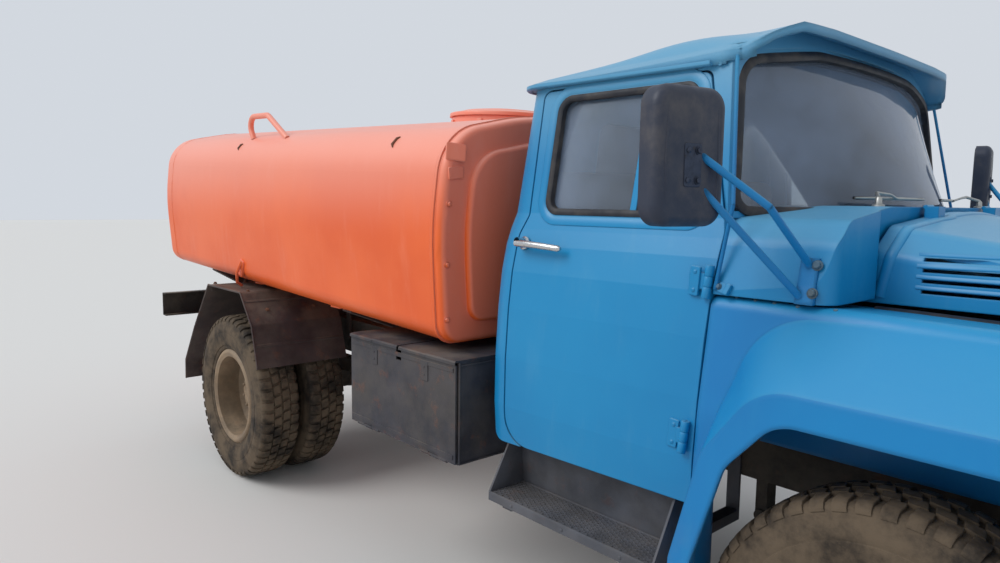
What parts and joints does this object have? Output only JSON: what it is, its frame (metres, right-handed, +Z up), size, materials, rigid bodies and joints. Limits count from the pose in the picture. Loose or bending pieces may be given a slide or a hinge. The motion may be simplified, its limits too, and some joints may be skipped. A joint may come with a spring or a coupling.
{
  "type": "bonneted tanker truck",
  "caption": "Two-axle bonneted truck with a hollow cab, an inclined suitcase-section tank, twin rear wheels, opening doors, hood and tank lid.",
  "frame": {"origin": "on the ground, in the middle of the bounding box", "axes": "+X forward along the vehicle, +Y left, +Z up"},
  "size_m": [6.225, 2.7442, 2.3892],
  "materials": {
    "chassis_black": "dusty black chassis paint",
    "engine_iron": "oily cast iron",
    "radiator_black": "matt black",
    "exhaust_rust": "rusted steel",
    "black_plastic": "worn black plastic",
    "cab_blue": "brushed-on sky blue enamel, weathered",
    "fender_blue": "brushed-on deep sky blue enamel",
    "dark_floor": "dirty dark paint",
    "glass": "clear, dusty",
    "seat_vinyl": "dark artificial leather",
    "dash_paint": "dull blue-grey enamel",
    "grille_paint": "sky blue enamel",
    "lamp_glass": "clear ribbed lens",
    "bumper_paint": "dusty black enamel",
    "step_steel": "worn grey tread plate",
    "mirror_black": "black moulded shell",
    "amber_lens": "faded amber lens",
    "tank_orange": "brushed-on orange enamel",
    "body_steel": "dusty dark brown steel",
    "tyre": "dusty rubber",
    "wheel_paint": "dust-covered paint"
  },
  "bodies": {
    "chassis": {"frame_rails": "chassis_black", "crossmembers": "chassis_black", "leaf_springs": "chassis_black", "front_axle": "chassis_black", "rear_axle": "chassis_black", "engine": "engine_iron", "driveline": "engine_iron", "radiator": "radiator_black", "exhaust": "exhaust_rust", "steering_gear": "chassis_black", "cab_back": "cab_blue", "cab_front": "cab_blue", "cab_roof": "cab_blue", "cab_floor": "dark_floor", "cowl": "cab_blue", "cab_glass": "glass", "seat": "seat_vinyl", "dashboard": "dash_paint", "front_fenders": "fender_blue", "grille": "grille_paint", "headlamps": "lamp_glass", "front_bumper": "bumper_paint", "steps": "step_steel", "mirrors": "mirror_black", "mirror_arms": "fender_blue", "marker_lamps": "amber_lens", "tank": "tank_orange", "tank_saddles": "body_steel", "toolbox": "body_steel", "fuel_tank": "chassis_black", "rear_fenders": "body_steel", "outlet_pipe": "tank_orange"},
    "hood": {"hood": "cab_blue"},
    "door_left": {"door_left": "cab_blue", "door_glass_left": "glass"},
    "door_right": {"door_right": "cab_blue", "door_glass_right": "glass"},
    "hatch_lid": {"hatch_lid": "tank_orange"},
    "toolbox_door": {"toolbox_door": "body_steel"},
    "steering_wheel": {"steering_wheel": "black_plastic"},
    "pitman_arm": {"pitman_arm": "chassis_black"},
    "drag_link": {"drag_link": "chassis_black"},
    "tie_rod": {"tie_rod": "chassis_black"},
    "knuckle_left": {"knuckle_left": "chassis_black"},
    "knuckle_right": {"knuckle_right": "chassis_black"},
    "wheel_front_left": {"tyre_front_left": "tyre", "wheel_front_left": "wheel_paint"},
    "wheel_front_right": {"tyre_front_right": "tyre", "wheel_front_right": "wheel_paint"},
    "wheels_rear_left": {"tyres_rear_left": "tyre", "wheels_rear_left": "wheel_paint"},
    "wheels_rear_right": {"tyres_rear_right": "tyre", "wheels_rear_right": "wheel_paint"}
  },
  "joints": [
    {"name": "steer_left", "type": "hinge", "parent": "chassis", "child": "knuckle_left", "pos_m": [2.0475, 0.76, 0.508], "axis": [0, 0, 1], "range_deg": [-34, 34]},
    {"name": "steer_right", "type": "hinge", "parent": "chassis", "child": "knuckle_right", "pos_m": [2.0475, -0.76, 0.508], "axis": [0, 0, 1], "range_deg": [-34, 34]},
    {"name": "track_rod_left", "type": "hinge", "parent": "knuckle_left", "child": "tie_rod", "pos_m": [1.8475, 0.758, 0.358], "axis": [0, 0, 1], "range_deg": [-34, 34]},
    {"name": "pitman", "type": "hinge", "parent": "chassis", "child": "pitman_arm", "pos_m": [1.7625, 0.505, 0.862], "axis": [0, 1, 0], "range_deg": [-34, 34]},
    {"name": "drag_link_rear", "type": "hinge", "parent": "pitman_arm", "child": "drag_link", "pos_m": [1.7625, 0.505, 0.662], "axis": [0, 1, 0], "range_deg": [-34, 34]},
    {"name": "steering_wheel", "type": "hinge", "parent": "chassis", "child": "steering_wheel", "pos_m": [1.2675, 0.46, 1.72], "axis": [-0.5, 0, 0.866], "range_deg": [-697, 697]},
    {"name": "roll_front_left", "type": "hinge", "parent": "knuckle_left", "child": "wheel_front_left", "pos_m": [2.0475, 0.9, 0.508], "axis": [0, 1, 0], "continuous": true},
    {"name": "roll_front_right", "type": "hinge", "parent": "knuckle_right", "child": "wheel_front_right", "pos_m": [2.0475, -0.9, 0.508], "axis": [0, 1, 0], "continuous": true},
    {"name": "roll_rear_left", "type": "hinge", "parent": "chassis", "child": "wheels_rear_left", "pos_m": [-1.7525, 0.895, 0.508], "axis": [0, 1, 0], "continuous": true},
    {"name": "roll_rear_right", "type": "hinge", "parent": "chassis", "child": "wheels_rear_right", "pos_m": [-1.7525, -0.895, 0.508], "axis": [0, 1, 0], "continuous": true},
    {"name": "door_left", "type": "hinge", "parent": "chassis", "child": "door_left", "pos_m": [1.4625, 0.98, 1.272], "axis": [0.079, -0.0749, 0.9941], "range_deg": [-70, 0]},
    {"name": "door_right", "type": "hinge", "parent": "chassis", "child": "door_right", "pos_m": [1.4625, -0.98, 1.272], "axis": [0.079, 0.0749, 0.9941], "range_deg": [0, 70]},
    {"name": "hood", "type": "hinge", "parent": "chassis", "child": "hood", "pos_m": [1.8495, 0, 1.742], "axis": [0, -1, 0], "range_deg": [0, 48]},
    {"name": "hatch_lid", "type": "hinge", "parent": "chassis", "child": "hatch_lid", "pos_m": [-0.84555, 0, 2.2396], "axis": [0, -1, 0], "range_deg": [0, 110]},
    {"name": "toolbox_door", "type": "hinge", "parent": "chassis", "child": "toolbox_door", "pos_m": [0.0525, -1.102, 0.684], "axis": [1, 0, 0], "range_deg": [0, 95]}
  ],
  "couplings": [
    {"joint": "steer_right", "follows": "steer_left", "ratio": 1},
    {"joint": "track_rod_left", "follows": "steer_left", "ratio": -1},
    {"joint": "pitman", "follows": "steer_left", "ratio": -1},
    {"joint": "drag_link_rear", "follows": "steer_left", "ratio": 1},
    {"joint": "steering_wheel", "follows": "steer_left", "ratio": 20.5}
  ]
}
